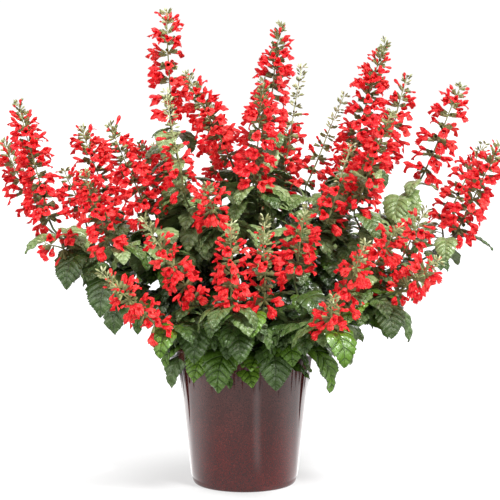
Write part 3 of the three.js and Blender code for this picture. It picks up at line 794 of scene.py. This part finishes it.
class Spike:
    """A spike as it grows: its petals, and its axis with calyces and green buds."""

    def __init__(self, number, foot, tip, look):
        self.rng = np.random.default_rng(number)
        self.look = look
        self.foot, self.way = foot, tip - foot
        self.length = np.linalg.norm(self.way)
        self.axis = unit(self.way)
        self.side = unit(np.cross((0, 1, 0), self.axis))
        self.front = np.cross(self.axis, self.side)
        self.petals, self.greens = Shape(), Shape()

    def scatter(self, what):
        return self.rng.uniform(-SCATTER[what], SCATTER[what])

    def add_axis(self):
        shares = np.linspace(-0.02, 1, SPIKE["rings"])
        sway = np.sin(shares * pi * 2)[:, None] * self.side * SPIKE["sway"]
        rod = self.foot + shares[:, None] * self.way * 0.985 + sway
        points, faces = tube(rod, lerp(*SPIKE["axis"], np.clip(shares, 0, 1)), circle(6))
        shades = lerp(0.5, 1.0, shares.repeat(6)) * self.look["light"]
        self.greens.add(points, faces, (0, 0, 0), shades)

    def whorls(self):
        """[place along the spike, share of its length] of each whorl of florets."""
        along = SPIKE["first"]
        while along < self.length:
            share = along / self.length
            yield along, share
            along += lerp(*SPIKE["spacing"], share) * self.look["spacing"]

    def directions(self, angle, pitch, roll):
        """Away from the axis, along the floret, and its up, which leans to the world's up."""
        radial = self.side * cos(angle) + self.front * sin(angle)
        out = radial * cos(pitch) + self.axis * sin(pitch)
        up = self.axis * 0.4 + UP * 0.6
        up = unit(up - out * (up @ out))
        across = np.cross(up, out)
        return radial, out, up * cos(roll) + across * sin(roll)

    def add_floret(self, along, share, angle):
        """One floret at its place along the spike, or the bud that it still is."""
        pitch = lerp(*SPIKE["pitch"], share**1.4) + self.scatter("pitch")
        radial, out, up = self.directions(angle, pitch, self.scatter("roll"))
        along += self.scatter("along") * MM
        base = self.foot + self.axis * along + radial * SPIKE["standing_off"]
        age = share + self.scatter("age")
        size = self.look["size"] * lerp(*FLORET["sizes"], smooth((share - 0.3) / 0.7))
        size *= self.rng.uniform(*FLORET["spread"])
        shade = lerp(*FLORET["calyx_shades"], share) * self.look["light"]
        shade = clipped(shade + self.rng.uniform(*FLORET["calyx_spread"]))
        if age > self.look["coloured"]:
            place = (base + out * GREEN_BUD["out"], out, up, lerp(*GREEN_BUD["sizes"], share))
            self.add_green_bud(place, shade)
            return
        mouth = base + out * (CALYX + PEDICEL) * size
        points, faces = CALYX_FORM
        self.greens.add(placed(points, mouth, out, up, size), faces, (1, 0, 0), shade)
        self.add_corolla((mouth, out, up), size, age)

    def add_green_bud(self, place, calyx_shade):
        points, faces = GREEN_BUD_FORM
        shade = clipped(calyx_shade + self.rng.uniform(*GREEN_BUD["shade_spread"]))
        self.greens.add(placed(points, *place), faces, (0.5, 0, 0), shade)

    def add_corolla(self, place, size, age):
        """The petals in a calyx, open or still a bud, unless they have fallen."""
        shade = clipped(self.rng.normal(*FLORET["shade"]))
        if self.rng.uniform() < FLORET["fallen"]:
            return
        if age > self.look["opened"] or self.rng.uniform() < FLORET["late"]:
            points, faces = BUD_FORM
            points = placed(points, *place, size * self.rng.uniform(*FLORET["bud_sizes"]))
            self.petals.add(points, faces, (0.4, 0, 0), 0.6 * shade)
        else:
            points, faces, form = COROLLAS[self.rng.integers(len(COROLLAS))]
            self.petals.add(placed(points, *place, size), faces, form, shade)


def grow_spike(number, foot, tip, look, materials):
    """A spike as two pieces that stand for its node."""
    spike = Spike(number, foot, tip, look)
    spike.add_axis()
    for whorl, (along, share) in enumerate(spike.whorls()):
        turn = whorl * pi / 2 + spike.scatter("turn")
        for cyme in (0, pi):
            for place in CYME[: look["florets"]]:
                spike.add_floret(along, share, turn + cyme + place + spike.scatter("angle"))
    spike.petals.piece(f"petals_{number:02d}", materials["petal"], "petals", f"spike_{number:02d}")
    spike.greens.piece(f"calyces_{number:02d}", materials["calyx"], "foliage", f"spike_{number:02d}")


# ------------------------ pot and soil

POT_SIDES = 128
SOIL_SIDES = 120
CRUMBS = {
    "height": 0.9 * MM,  # of the fine lumps of the soil's top
    "count": 220,  # of the loose ones on it
    "profile": [(-1, 0.1), (-0.6, 0.8), (0.2, 1.0), (0.8, 0.6), (1, 0.1)],
    "sizes": (1, 3.6),
}
NEAR_AXIS = 1 * MM  # radius of the small hole that is left in the middle of a turned sheet


def pot_profile():
    """From the middle of the underside, out and up to the round lip, and down inside."""
    foot = POT["foot"][0]
    (heel, heel_z), (waist, waist_z), (rim, height) = POT["heel"], POT["waist"], POT["rim"]
    wall, lip = POT["wall"], POT["wall"] / 2
    outside = [(NEAR_AXIS, 0), (foot - 4 * MM, 0), (foot - 1 * MM, 0.6 * MM), (foot + 0.6 * MM, 3 * MM)]
    heights = np.linspace(heel_z * 0.5, height - lip, 26)
    radii = np.interp(heights, (0, heel_z, waist_z, height), (foot, heel, waist, rim))
    outside += list(zip(radii, heights))
    centre = rim - lip
    round_lip = [(centre + lip * cos(a), height - lip + lip * sin(a)) for a in np.linspace(0, pi, 9)]
    inside = [(waist - wall, waist_z), (heel - wall, POT["floor"]), (NEAR_AXIS, POT["floor"])]
    return outside + round_lip + inside


def grow_pot(materials):
    shape = Shape()
    shape.add(*lathe(pot_profile(), POT_SIDES))
    shape.piece("glazed_pot", materials["glaze"], "pot_glaze", "pot")


def soil_height(x, y, edge_radius):
    """The lumpy top of the soil, with finer lumps than the part's."""
    radius = np.hypot(x, y)
    dome = lerp(SOIL["middle"], SOIL["edge"], smooth((radius / edge_radius - 0.7) / 0.3))
    along_x, along_y = SOIL["lump_length"]
    lumps = SOIL["lump"] * np.sin(TURN * x / along_x) * np.cos(TURN * y / along_y)
    crumbs = np.sin(x * 900 + 3 * np.sin(y * 410)) * np.cos(y * 830 + 2 * np.sin(x * 370))
    return dome + (lumps + CRUMBS["height"] * crumbs) * smooth((1 - radius / edge_radius) * 8)


def soil_top(edge_radius):
    """Rings of the soil's top from the middle out, its skirt and its bottom."""
    ring = circle(SOIL_SIDES)
    rings = []
    for radius in np.linspace(NEAR_AXIS, edge_radius, 40):
        x, y = radius * ring[:, 0], radius * ring[:, 1]
        rings.append(points_at(x, y, soil_height(x, y, edge_radius)))
    skirt = rings[-1] * (0.97, 0.97, 1) - (0, 0, 30 * MM)
    bottom = skirt * (0.01, 0.01, 1)
    return [*rings, skirt, bottom]


def add_crumbs(shape, edge_radius):
    rng = np.random.default_rng(5)
    crumb, faces = turned(CRUMBS["profile"], 6)
    for _ in range(CRUMBS["count"]):
        radius, angle = edge_radius * 0.96 * rng.uniform() ** 0.5, rng.uniform(0, TURN)
        x, y = radius * cos(angle), radius * sin(angle)
        base = np.array((x, y, float(soil_height(x, y, edge_radius))))
        out = unit(rng.normal(size=3) * (1, 1, 0.4))
        up = unit(np.cross(out, rng.normal(size=3)))
        rough = crumb * rng.uniform(0.7, 1.3, size=crumb.shape)
        points = placed(rough, base, out, up, rng.uniform(*CRUMBS["sizes"]))
        shape.add(points, faces, shade=rng.uniform())


def grow_soil(materials):
    share = (SOIL["edge"] - POT["waist"][1]) / (POT["rim"][1] - POT["waist"][1])
    edge_radius = lerp(POT["waist"][0], POT["rim"][0], share) - POT["wall"] - STEM["gap"]
    rings = soil_top(edge_radius)
    shape = Shape()
    shape.add(np.concatenate(rings), [grid_faces(len(rings), SOIL_SIDES, wrap=True, flip=True)])
    add_crumbs(shape, edge_radius)
    shape.piece("potting_soil", materials["soil"], "soil", "soil")


# ------------------------ materials


def arithmetic(operation, swapped=False):
    """A method that puts a value and another one or a number through a Math node."""
    def method(self, other=0.0):
        return self.finish.math(operation, *((other, self) if swapped else (self, other)))
    return method


class Value:
    """A number, vector or colour in a material's nodes, for sums like those of plain numbers."""

    def __init__(self, finish, socket):
        self.finish, self.socket = finish, socket

    __add__ = arithmetic("ADD")
    __sub__ = arithmetic("SUBTRACT")
    __rsub__ = arithmetic("SUBTRACT", swapped=True)
    __mul__ = arithmetic("MULTIPLY")
    __truediv__ = arithmetic("DIVIDE")
    __abs__ = arithmetic("ABSOLUTE")


class Finish:
    """A material's nodes, added by short calls that give back the value to read."""

    def __init__(self, name, **sockets):
        self.material = bpy.data.materials.new(name)
        self.material.use_nodes = True
        self.tree = self.material.node_tree
        self.shader = self.tree.nodes["Principled BSDF"]
        self.shade(**sockets)

    def feed(self, node, inputs):
        for name, value in inputs.items():
            if isinstance(value, Value):
                self.tree.links.new(value.socket, node.inputs[name])
            else:
                node.inputs[name].default_value = value

    def shade(self, **sockets):
        """Feeds sockets of the shader, named with _ for each space."""
        self.feed(self.shader, {name.replace("_", " "): value for name, value in sockets.items()})

    def node(self, kind, inputs, output=0, **settings):
        node = self.tree.nodes.new("ShaderNode" + kind)
        for name, value in settings.items():
            setattr(node, name, value)
        self.feed(node, inputs)
        return Value(self, node.outputs[output])

    def math(self, operation, first, second=0.0, clamp=False):
        return self.node("Math", {0: first, 1: second}, operation=operation, use_clamp=clamp)

    def vector(self, operation, first, second=(0, 0, 0)):
        output = "Value" if operation in ("LENGTH", "DOT_PRODUCT") else "Vector"
        return self.node("VectorMath", {0: first, 1: second}, output, operation=operation)

    def band(self, value, start, end):
        """Falls from 1 to 0 as the value goes from start to end."""
        inputs = {"Value": value, "From Min": start, "From Max": end, "To Min": 1.0, "To Max": 0.0}
        return self.node("MapRange", inputs, interpolation_type="SMOOTHSTEP")

    def mix(self, share, first, second, blend="MIX"):
        inputs = {0: share, 6: first, 7: second}
        return self.node("Mix", inputs, output=2, data_type="RGBA", blend_type=blend)

    def attribute(self, name, output="Vector"):
        return self.node("Attribute", {}, output, attribute_name=name)

    def split(self, vector):
        return [self.node("SeparateXYZ", {0: vector}, axis) for axis in range(3)]

    def place(self):
        return self.node("TexCoord", {}, "Object")

    def noise(self, scale, detail=3.0, place=None):
        inputs = {"Vector": place or self.place(), "Scale": scale, "Detail": detail}
        return self.node("TexNoise", inputs)

    def ramp(self, value, stops):
        node = self.tree.nodes.new("ShaderNodeValToRGB")
        self.feed(node, {0: value})
        elements = node.color_ramp.elements
        while len(elements) < len(stops):
            elements.new(0.5)
        for element, (position, colour) in zip(elements, stops):
            element.position = position
            element.color = (*colour, 1)
        return Value(self, node.outputs["Color"])

    def bump(self, height, distance, strength=1.0):
        inputs = {"Height": height, "Distance": distance, "Strength": strength}
        self.shade(Normal=self.node("Bump", inputs))


# The heart of the bush, where the leaves are darkened with painted shade: its middle, its half widths,
# and the shares of them from which and up to which the painted shade fades.
PAINTED_HEART_SHADE = {"middle": (0, 0.01, 0.31), "reach": (0.28, 0.2, 0.13), "fade": (0.5, 1.0), "darkest": 0.85}


def painted_heart_shade(finish):
    """How deep a point lies in the heart of the bush, from 0 to 1, as the share of painted shade that
    it gets.
    """
    from_middle = finish.vector("SUBTRACT", finish.place(), PAINTED_HEART_SHADE["middle"])
    scaled = finish.vector("DIVIDE", from_middle, PAINTED_HEART_SHADE["reach"])
    return finish.band(finish.vector("LENGTH", scaled), *PAINTED_HEART_SHADE["fade"]) * PAINTED_HEART_SHADE["darkest"]


def leaf_finish():
    """Green with a fine net of lines. They are dark in the grooves of the bright leaves, and pale on
    the crests of the others, where they are a painted highlight. The tones carry the painted light by
    height, and the heart of the bush is darkened with painted shade. Olive beneath."""
    finish = Finish("leaf", Roughness=0.26, Specular_IOR_Level=0.5)
    along, across, under = finish.split(finish.attribute("form"))
    shade = finish.attribute("shade", "Fac")
    from_vein = abs(finish.math("FRACT", along * VEINS + 0.5) - 0.5)
    pale = finish.band(shade, 0.5, 0.58)
    midrib = finish.band(abs(across), 0.01, 0.06)
    # painted highlight: on the leaves that are not bright, the pale lines run on the crests between the
    # veins
    vein_lines_and_painted_glints = finish.math("MAXIMUM", finish.band(abs(from_vein - pale * 0.5), 0.01, 0.1), midrib)
    grooves = finish.math("MAXIMUM", finish.band(from_vein, 0.02, 0.14), midrib)
    cells = finish.node("CombineXYZ", {"X": along * 16.0, "Y": across * 6.0, "Z": shade * 9.0})
    net = finish.node("TexVoronoi", {"Vector": cells, "Scale": 1.0}, feature="DISTANCE_TO_EDGE")
    # painted light by height: the pale low end of these tones is a painted sheen on the highest leaves,
    # and the dark middle a painted shade
    blade = finish.ramp(shade, [
        (0.0, (0.175, 0.255, 0.090)), (0.2, (0.108, 0.178, 0.048)), (0.36, (0.036, 0.078, 0.015)),
        (0.5, (0.034, 0.074, 0.013)), (0.7, (0.080, 0.172, 0.014)), (1.0, (0.150, 0.290, 0.022)),
    ])
    lines = finish.ramp(shade, [
        (0.0, (0.360, 0.440, 0.245)), (0.2, (0.265, 0.345, 0.160)), (0.45, (0.100, 0.150, 0.055)),
        (0.6, (0.036, 0.080, 0.010)), (1.0, (0.030, 0.070, 0.008)),
    ])
    lighter = finish.mix(1.0, blade, (1.8, 1.7, 1.5, 1), "MULTIPLY")
    patches = finish.mix(finish.noise(60.0), blade, lighter)
    netted = finish.mix(finish.band(net, 0.04, 0.24) * 0.3, patches, lines)
    veined = finish.mix(vein_lines_and_painted_glints * 0.75, netted, lines)
    olive = finish.mix(under * 0.6, veined, (0.14, 0.19, 0.07, 1))
    # painted shade: leaves in the heart of the bush are mixed towards near black
    finish.shade(Base_Color=finish.mix(painted_heart_shade(finish), olive, (0.008, 0.016, 0.005, 1)))
    sunk = finish.math("MAXIMUM", grooves, finish.band(net, 0.0, 0.5) * 0.3)
    finish.bump(1.0 - sunk, 2.5 * MM)
    return finish.material


def stalk_finish():
    """Green with brown-purple patches."""
    finish = Finish("stalk", Roughness=0.55, Specular_IOR_Level=0.25)
    finish.shade(Base_Color=finish.ramp(finish.noise(26.0), [
        (0.3, (0.045, 0.065, 0.022)), (0.5, (0.085, 0.120, 0.040)), (0.72, (0.060, 0.040, 0.028)),
    ]))
    finish.bump(finish.noise(900.0), 0.2 * MM, 0.5)
    return finish.material


def petal_finish():
    """Scarlet, deeper in the throat and more orange on the lips. Light orange patches are painted
    highlights, the folds between the ribs are darkened as painted shade, and a faint red glow is
    painted light that stands for the light coming through the petals."""
    finish = Finish("petal", Roughness=0.35, Specular_IOR_Level=0.08)
    # painted light: a faint red glow, for the light that comes through the petals
    finish.shade(Emission_Color=(1, 0.01, 0.02, 1), Emission_Strength=0.12)
    along, across, _ = finish.split(finish.attribute("form"))
    tones = finish.ramp(finish.attribute("shade", "Fac"), [
        (0.0, (0.64, 0.003, 0.013)), (0.5, (0.94, 0.008, 0.022)), (1.0, (1.0, 0.065, 0.060)),
    ])
    deep = finish.mix(finish.band(along, 0.1, 0.55), tones, (0.50, 0.003, 0.012, 1))
    # painted highlights: light orange patches
    light = finish.band(finish.noise(280.0), 0.62, 0.42)
    patches = finish.mix(light * 0.6, deep, (1.0, 0.140, 0.110, 1))
    ribs = finish.math("SINE", across * 10.0) + finish.noise(330.0, 2.0) * 4.0
    # painted shade: the folds between the ribs are darkened
    painted_fold_shade = finish.band(ribs, 1.0, 2.4)
    finish.shade(Base_Color=finish.mix(painted_fold_shade * 0.5, patches, (0.42, 0.003, 0.010, 1)))
    finish.bump(ribs, 0.4 * MM)
    return finish.material


def calyx_finish():
    """Calyces and buds, from dark olive to pale yellow-green, flushed with red-brown."""
    finish = Finish("calyx", Roughness=0.55, Specular_IOR_Level=0.25)
    tones = finish.ramp(finish.attribute("shade", "Fac"), [
        (0.0, (0.048, 0.048, 0.019)), (0.3, (0.160, 0.170, 0.055)), (0.65, (0.40, 0.45, 0.18)),
        (1.0, (0.80, 0.85, 0.50)),
    ])
    finish.shade(Base_Color=finish.mix(finish.noise(420.0) * 0.4, tones, (0.09, 0.035, 0.022, 1)))
    finish.bump(finish.noise(1500.0), 0.2 * MM, 0.6)
    return finish.material


def glaze_finish():
    """A red-brown glaze with fine dark speckles under a clear glossy coat. It is darker and greyer
    towards the rim, a painted reflection of the bright floor that the upper wall mirrors, and redder
    towards the foot, where it stands for the shaded floor mirrored there."""
    finish = Finish("glaze", Roughness=0.5, Specular_IOR_Level=0.0)
    finish.shade(Coat_Weight=1.0, Coat_Roughness=0.03, Coat_IOR=1.55)
    place = finish.place()
    height = finish.split(place)[2]
    mottle = finish.noise(30.0, 6.0, place)
    fine = finish.noise(520.0, 3.0, place)
    low = finish.ramp(mottle, [
        (0.3, (0.060, 0.002, 0.002)), (0.55, (0.085, 0.004, 0.003)), (0.8, (0.115, 0.006, 0.005)),
    ])
    high = finish.ramp(mottle, [
        (0.3, (0.050, 0.013, 0.011)), (0.55, (0.072, 0.020, 0.017)), (0.8, (0.098, 0.028, 0.023)),
    ])
    # painted reflection: greyer high up, where the wall mirrors the bright floor, and redder low down,
    # where it mirrors the shaded floor
    body = finish.mix(finish.band(height, 0.06, 0.19), high, low)
    speckled = finish.mix(finish.band(fine, 0.38, 0.52), body, (0.032, 0.006, 0.006, 1))
    sparks = finish.band(fine, 0.68, 0.58) * finish.band(height, 0.13, 0.19)
    finish.shade(Base_Color=finish.mix(sparks * 0.6, speckled, (0.180, 0.030, 0.024, 1)))
    finish.bump(finish.noise(70.0, 2.0, place), 0.5 * MM, 0.5)
    return finish.material


def soil_finish():
    finish = Finish("soil", Roughness=0.95, Specular_IOR_Level=0.2)
    finish.shade(Base_Color=finish.ramp(finish.noise(260.0, 5.0), [
        (0.3, (0.010, 0.007, 0.005)), (0.55, (0.030, 0.020, 0.013)), (0.8, (0.075, 0.050, 0.032)),
    ]))
    finish.bump(finish.noise(700.0, 5.0), 1.2 * MM)
    return finish.material


# ------------------------ floor, backdrop, light and camera

CAMERA = {"target": (0.010, 0.0, 0.423), "distance": 3.2, "elevation": radians(6), "width": 0.9}
STUDIO = {
    "floor": 30,  # half its side
    "floor_colour": 0.3,
    "floor_glow_with_painted_shade": (0.62, 0.9),  # near the pot, where it is dimmed as a painted shade round the foot, and away from it
    "glow_reach": (0.1, 0.34),  # from the pot's axis
    "backdrop": 26,  # radius of the white dome
    "backdrop_glow": 1.05,
    "dome_top": 1.55,  # how far up the domes reach, in radians
    "sky": 0.42,  # light from all round
}
SUNS = [
    # name, direction that it shines from, strength, width in degrees
    ("key", (0.8, -0.95, 1.45), 4.2, 10),
    ("fill", (-1.2, -1.0, 0.7), 0.9, 40),
]
# What the gloss sees from afar: soft boxes, each [direction, how much brighter it is than the rest].
TENT = {"radius": 24, "dim": 0.45, "edge": (cos(radians(22)), cos(radians(40)))}
SOFT_BOXES = [((0.8, -0.75, 0.9), 5.0), ((-0.95, -0.6, 0.8), 3.0), ((0.1, 0.9, 0.5), 1.6)]
# The pot mirrors a bright funnel round its foot, which only the gloss sees: its brightness by how far
# it lies from the viewer's side, in degrees, and a dark strip that tapers down on each side of it.
FUNNEL = {"foot": (0.105, 0.001), "top": (0.55, 0.24), "brightest": 3.0}
FUNNEL_GLOW = [
    (40, 0.9), (55, 1.1), (66, 1.4), (80, 1.75), (96, 1.75),
    (104, 2.1), (112, 2.4), (140, 2.2), (170, 1.4),
]
STRIP = {
    "middle": radians(108.5),
    "half_width": radians(6.5),
    "edge": (0.6, 1.2),  # the shares of its half width over which it fades
    "heights": (0.06, 0.115),
}
# A paler column on one side of the viewer, like a window's.
WINDOW = {"middle": radians(18.5), "half_width": radians(9), "heights": (0.01, 0.04), "glow": 0.9}
# A painted shade of the leaves hangs in dark drips from the top of the funnel, and the pot mirrors it
# below its rim: how wide, how uneven and how low.
RIM_LEAF_SHADE = {"scale": 11.0, "uneven": 0.14, "heights": (0.196, 0.188), "darkest": 0.85}


def stage_piece(name, points, faces, finish, *unseen_by):
    """A thing that isn't part of the object, and that some kinds of rays don't see."""
    thing = add_object(name, mesh_of(name, points, faces, finish.material))
    for ray in unseen_by:
        setattr(thing, f"visible_{ray}", False)


def glow_finish(name, base=0.0, strength=1.0):
    finish = Finish(name, Roughness=0.9, Specular_IOR_Level=0.0, Emission_Strength=strength)
    finish.shade(Base_Color=(base, base, base, 1), Emission_Color=(1, 1, 1, 1))
    return finish


def add_floor():
    reach = STUDIO["floor"]
    corners = [(-reach, -reach, 0), (reach, -reach, 0), (reach, reach, 0), (-reach, reach, 0)]
    near, far = STUDIO["floor_glow_with_painted_shade"]
    finish = glow_finish("white_floor", STUDIO["floor_colour"])
    from_axis = finish.vector("LENGTH", finish.place())
    # painted shade round the pot's foot: the floor glows less near it
    finish.shade(Emission_Strength=far - finish.band(from_axis, *STUDIO["glow_reach"]) * (far - near))
    stage_piece("floor", corners, [(0, 1, 2, 3)], finish)


def turned_stage(name, profile, sides, finish, *unseen_by):
    points, (faces,) = lathe(profile, sides)
    stage_piece(name, points.tolist(), faces.tolist(), finish, "diffuse", "shadow", *unseen_by)


def dome(radius):
    return [(radius * cos(a), radius * sin(a)) for a in np.linspace(0, STUDIO["dome_top"], 16)]


def add_backdrop():
    """A white dome that only the camera sees."""
    finish = glow_finish("white_backdrop", strength=STUDIO["backdrop_glow"])
    turned_stage("backdrop", dome(STUDIO["backdrop"]), 48, finish, "glossy")


def add_tent():
    """The soft boxes, which only the gloss sees."""
    finish = glow_finish("soft_boxes")
    towards = finish.vector("NORMALIZE", finish.place())
    strength = TENT["dim"]
    for direction, glow in SOFT_BOXES:
        facing = finish.vector("DOT_PRODUCT", towards, tuple(unit(np.array(direction))))
        strength = finish.band(facing, *TENT["edge"]) * glow + strength
    finish.shade(Emission_Strength=strength)
    turned_stage("soft_boxes", dome(TENT["radius"]), 48, finish, "camera")


def beside_strip(finish, around, height):
    """The light that the dark strips leave, from 0 to 1."""
    lowest, highest = STRIP["heights"]
    risen = finish.math("DIVIDE", height - lowest, highest - lowest, clamp=True)
    half_width = (risen + 0.01) * STRIP["half_width"]
    return 1.0 - finish.band(abs(around - STRIP["middle"]) / half_width, *STRIP["edge"])


def below_rim_leaf_shade(finish, place, height):
    """The light that the painted dark drips of leaf shade leave, from 0 to 1."""
    towards = finish.vector("NORMALIZE", finish.vector("MULTIPLY", place, (1, 1, 0)))
    uneven = finish.noise(RIM_LEAF_SHADE["scale"], 3.0, towards) * RIM_LEAF_SHADE["uneven"]
    return 1.0 - finish.band(height + uneven, *RIM_LEAF_SHADE["heights"]) * RIM_LEAF_SHADE["darkest"]


def window_glow(finish, azimuth, height):
    low, high = WINDOW["heights"]
    column = finish.band(abs(azimuth - WINDOW["middle"]), 0.0, WINDOW["half_width"]) * WINDOW["glow"]
    return column * finish.band(height, high, low)


def add_funnel():
    """The bright funnel with its dark strips and the painted leaf shade near its top, which the camera
    doesn't see and which casts no light.
    """
    finish = glow_finish("funnel")
    place = finish.place()
    x, y, height = finish.split(place)
    azimuth = finish.math("ARCTAN2", x, y * -1.0)
    around = abs(azimuth)
    brightest = FUNNEL["brightest"]
    stops = [(angle / 180, [strength / brightest] * 3) for angle, strength in FUNNEL_GLOW]
    glow = finish.ramp(around / pi, stops) * brightest
    # painted shade of the leaves: dark drips near the funnel's top, which the pot mirrors below its rim
    lit = beside_strip(finish, around, height) * below_rim_leaf_shade(finish, place, height)
    finish.shade(Emission_Strength=glow * lit + window_glow(finish, azimuth, height))
    turned_stage("funnel", [FUNNEL["foot"], FUNNEL["top"]], 96, finish, "camera", "transmission")


def aim(thing, place, target):
    """Puts a camera or light at a place, with its -Z towards the target."""
    thing.location = place
    direction = Vector(target) - Vector(place)
    thing.rotation_euler = direction.to_track_quat("-Z", "Y").to_euler()


def add_sun(name, direction, strength, width):
    light = bpy.data.lights.new(name, "SUN")
    light.energy = strength
    light.angle = radians(width)
    aim(add_object(name, light), tuple(3 * np.array(direction)), (0, 0, 0))


def add_world(strength):
    world = bpy.data.worlds.new("studio")
    world.use_nodes = True
    background = world.node_tree.nodes["Background"]
    background.inputs["Color"].default_value = (1, 1, 1, 1)
    background.inputs["Strength"].default_value = strength
    bpy.context.scene.world = world


def add_camera():
    target, distance, elevation = CAMERA["target"], CAMERA["distance"], CAMERA["elevation"]
    camera = bpy.data.cameras.new("camera")
    camera.angle = 2 * np.arctan(CAMERA["width"] / 2 / distance)
    camera.clip_end = 2 * STUDIO["floor"]
    holder = add_object("camera", camera)
    back = np.array((0, -cos(elevation), sin(elevation)))
    aim(holder, tuple(np.array(target) + distance * back), target)
    bpy.context.scene.camera = holder


# ------------------------ the whole scene

bpy.context.scene.view_settings.view_transform = "Standard"
add_camera()
add_floor()
add_backdrop()
add_tent()
add_funnel()
add_world(STUDIO["sky"])
for sun in SUNS:
    add_sun(*sun)

MATERIALS = {
    "leaf": leaf_finish(),
    "stalk": stalk_finish(),
    "petal": petal_finish(),
    "calyx": calyx_finish(),
    "glaze": glaze_finish(),
    "soil": soil_finish(),
}

grow_pot(MATERIALS)
grow_soil(MATERIALS)
number = 1
for i, plant in enumerate(PLANTS):
    for shoot in grow_plant(plant, f"stem_{i + 1:02d}", number, MATERIALS):
        look = dict(zip(LOOK, LOOKS[shoot["look"]]))
        grow_spike(number, shoot["foot"], shoot["tip"], look, MATERIALS)
        number += 1
